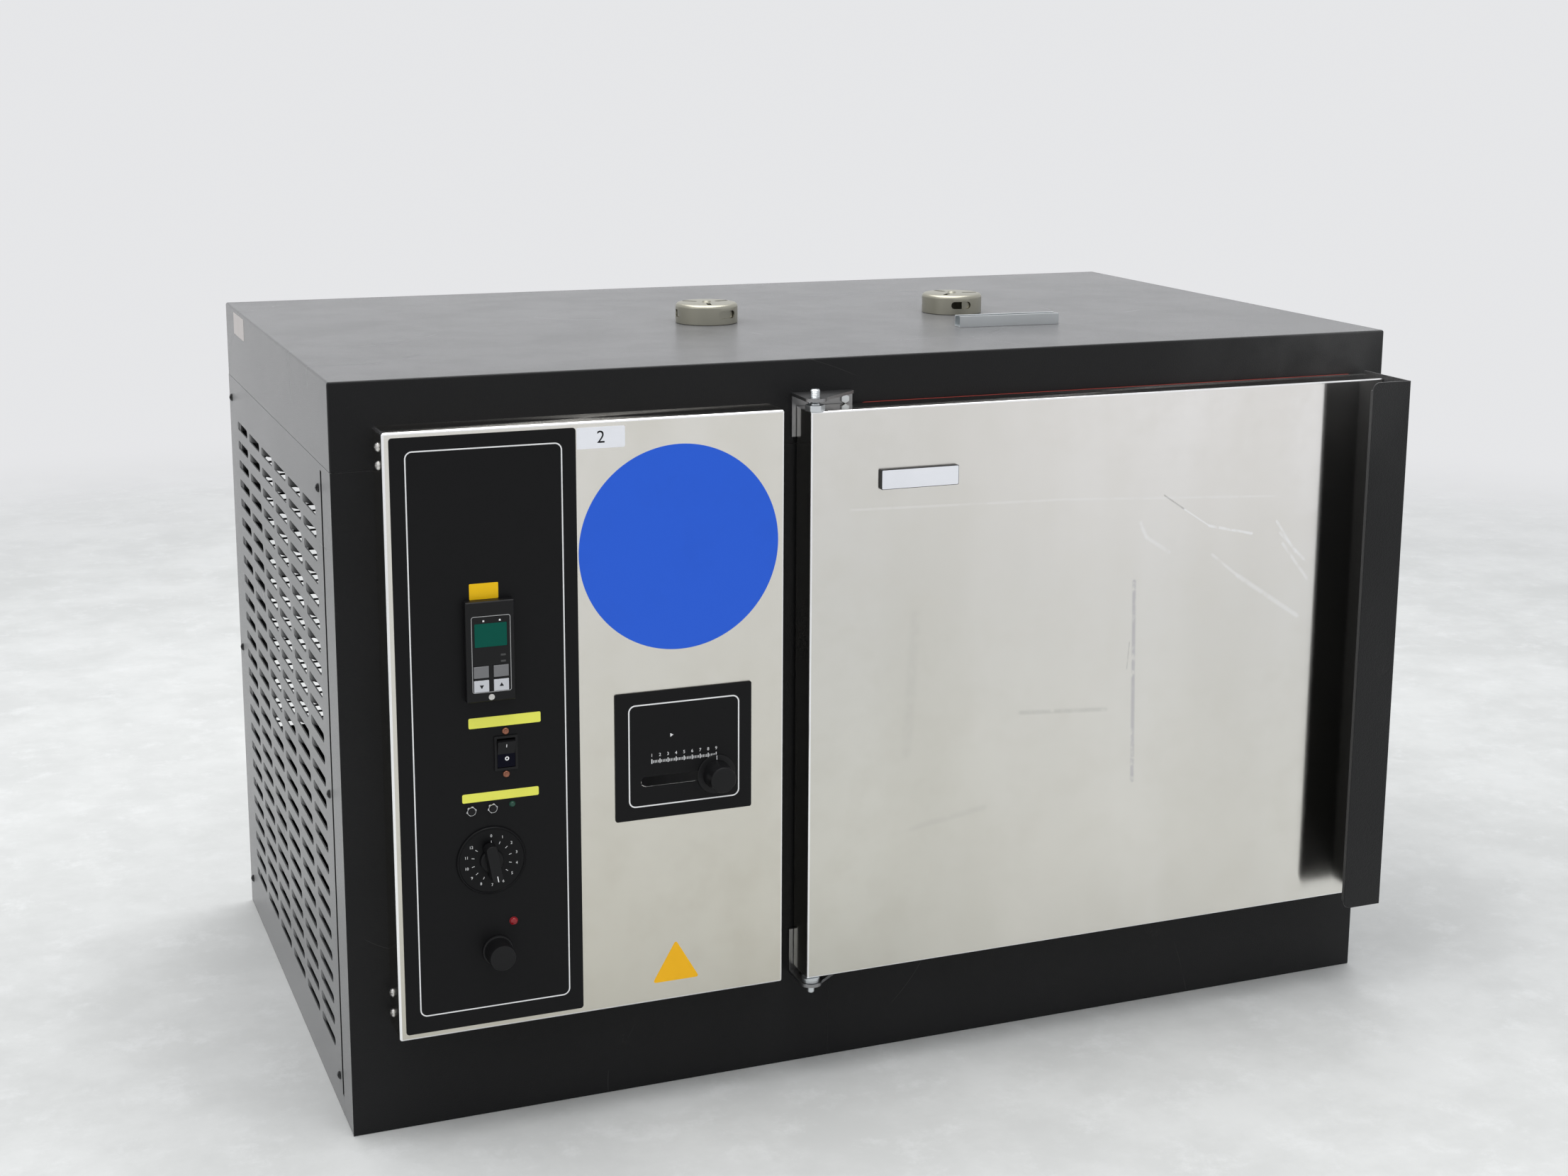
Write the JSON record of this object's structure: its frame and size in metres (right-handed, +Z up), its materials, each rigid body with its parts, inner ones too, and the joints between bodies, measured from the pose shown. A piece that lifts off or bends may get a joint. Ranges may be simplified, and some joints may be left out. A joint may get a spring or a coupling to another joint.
{
  "type": "laboratory oven",
  "caption": "Bench laboratory drying oven: slotted black case, brushed steel control module with knobs and keys, and a hinged insulated door with a full-height handle strip.",
  "frame": {"origin": "centre of the base pan's underside, where the oven rests", "axes": "+X to the oven's right as seen from its front, +Y towards its rear, +Z up"},
  "size_m": [1.1324, 0.743, 0.749],
  "materials": {
    "black_coat": "textured powder coat",
    "stainless": "brushed",
    "galvanised": "zinc plated",
    "overlay_black": "fine satin",
    "control_black": "satin",
    "key_grey": "matte",
    "key_white": "matte",
    "display": "tinted window",
    "copper": "polished copper",
    "chrome": "polished",
    "lamp": "tinted lens",
    "gasket_red": "silicone",
    "wool": "mineral wool",
    "nickel": "dull nickel",
    "motor": "cast and painted",
    "gland_black": "matte",
    "heater_sheath": "oxidised"
  },
  "bodies": {
    "oven": {"base_pan": "black_coat", "bay_fascia": "black_coat", "oven_fascia": "black_coat", "top_cover": "black_coat", "left_side_panel": "black_coat", "right_side_panel": "black_coat", "rear_panel": "black_coat", "frame_posts": "galvanised", "panel_screws": "black_coat", "bay_wall": "galvanised", "chamber_liner": "stainless", "insulation": "wool", "left_duct_wall": "stainless", "right_duct_wall": "stainless", "shelf_supports": "stainless", "top_hinge_bracket": "stainless", "bottom_hinge_bracket": "stainless", "magnet_catch": "control_black", "control_cover": "stainless", "control_overlay": "overlay_black", "cover_screws": "stainless", "controller_case": "control_black", "controller_display": "display", "rocker_bezel": "control_black", "panel_rivets": "copper", "button_bushings": "chrome", "panel_lamps": "lamp", "timer_body": "control_black", "limit_thermostat": "control_black", "air_plate": "overlay_black", "air_port": "stainless", "vent_tubes": "nickel", "blower_motor": "motor", "blower_scroll": "stainless", "heater_element": "heater_sheath", "power_inlet": "gland_black", "spare_channel": "galvanised"},
    "door": {"door_shell": "stainless", "door_liner": "stainless", "door_insulation": "wool", "door_gasket": "gasket_red", "door_handle": "black_coat", "hinge_studs": "stainless"},
    "air_slider": {"air_knob": "control_black", "damper_slide": "stainless"},
    "rocker": {"rocker": "control_black"},
    "timer_knob": {"timer_knob": "control_black"},
    "limit_knob": {"limit_knob": "control_black"},
    "off_button": {"off_button": "control_black"},
    "reset_button": {"reset_button": "control_black"},
    "down_key": {"down_key": "key_white"},
    "up_key": {"up_key": "key_white"},
    "left_grey_key": {"left_grey_key": "key_grey"},
    "right_grey_key": {"right_grey_key": "key_grey"},
    "left_vent_cap": {"left_vent_cap": "nickel"},
    "right_vent_cap": {"right_vent_cap": "nickel"},
    "blower": {"blower_wheel": "stainless", "motor_shaft": "stainless"},
    "upper_shelf": {"upper_shelf": "stainless"},
    "lower_shelf": {"lower_shelf": "stainless"}
  },
  "joints": [
    {"name": "door_hinge", "type": "hinge", "parent": "oven", "child": "door", "pos_m": [-0.1105, -0.357, 0.392], "axis": [0, 0, -1], "range_deg": [0, 150]},
    {"name": "air_slide", "type": "slide", "parent": "oven", "child": "air_slider", "axis": [1, 0, 0], "range_m": [-0.065, 0]},
    {"name": "rocker_tilt", "type": "hinge", "parent": "oven", "child": "rocker", "pos_m": [-0.419, -0.359, 0.378], "axis": [-1, 0, 0], "range_deg": [0, 16]},
    {"name": "timer_turn", "type": "hinge", "parent": "oven", "child": "timer_knob", "pos_m": [-0.435, -0.3626, 0.2753], "axis": [0, 1, 0], "range_deg": [-168, 140]},
    {"name": "limit_turn", "type": "hinge", "parent": "oven", "child": "limit_knob", "pos_m": [-0.431, -0.3626, 0.1856], "axis": [0, 1, 0], "range_deg": [-135, 135]},
    {"name": "off_press", "type": "slide", "parent": "oven", "child": "off_button", "axis": [0, 1, 0], "range_m": [0, 0.0012], "stiffness_N_per_m": 600},
    {"name": "reset_press", "type": "slide", "parent": "oven", "child": "reset_button", "axis": [0, 1, 0], "range_m": [0, 0.0012], "stiffness_N_per_m": 600},
    {"name": "down_key_press", "type": "slide", "parent": "oven", "child": "down_key", "axis": [0, 1, 0], "range_m": [0, 0.0006], "stiffness_N_per_m": 800},
    {"name": "up_key_press", "type": "slide", "parent": "oven", "child": "up_key", "axis": [0, 1, 0], "range_m": [0, 0.0006], "stiffness_N_per_m": 800},
    {"name": "left_grey_key_press", "type": "slide", "parent": "oven", "child": "left_grey_key", "axis": [0, 1, 0], "range_m": [0, 0.0006], "stiffness_N_per_m": 800},
    {"name": "right_grey_key_press", "type": "slide", "parent": "oven", "child": "right_grey_key", "axis": [0, 1, 0], "range_m": [0, 0.0006], "stiffness_N_per_m": 800},
    {"name": "left_vent_turn", "type": "hinge", "parent": "oven", "child": "left_vent_cap", "pos_m": [-0.103, -0.026, 0.725], "axis": [0, 0, 1], "range_deg": [-48, 12]},
    {"name": "right_vent_turn", "type": "hinge", "parent": "oven", "child": "right_vent_cap", "pos_m": [0.19, -0.026, 0.725], "axis": [0, 0, 1], "range_deg": [-18, 42]},
    {"name": "blower_spin", "type": "hinge", "parent": "oven", "child": "blower", "pos_m": [-0.124, 0.009, 0.4], "axis": [1, 0, 0], "continuous": true},
    {"name": "upper_shelf_slide", "type": "slide", "parent": "oven", "child": "upper_shelf", "axis": [0, -1, 0], "range_m": [0, 0.006]},
    {"name": "lower_shelf_slide", "type": "slide", "parent": "oven", "child": "lower_shelf", "axis": [0, -1, 0], "range_m": [0, 0.006]}
  ]
}
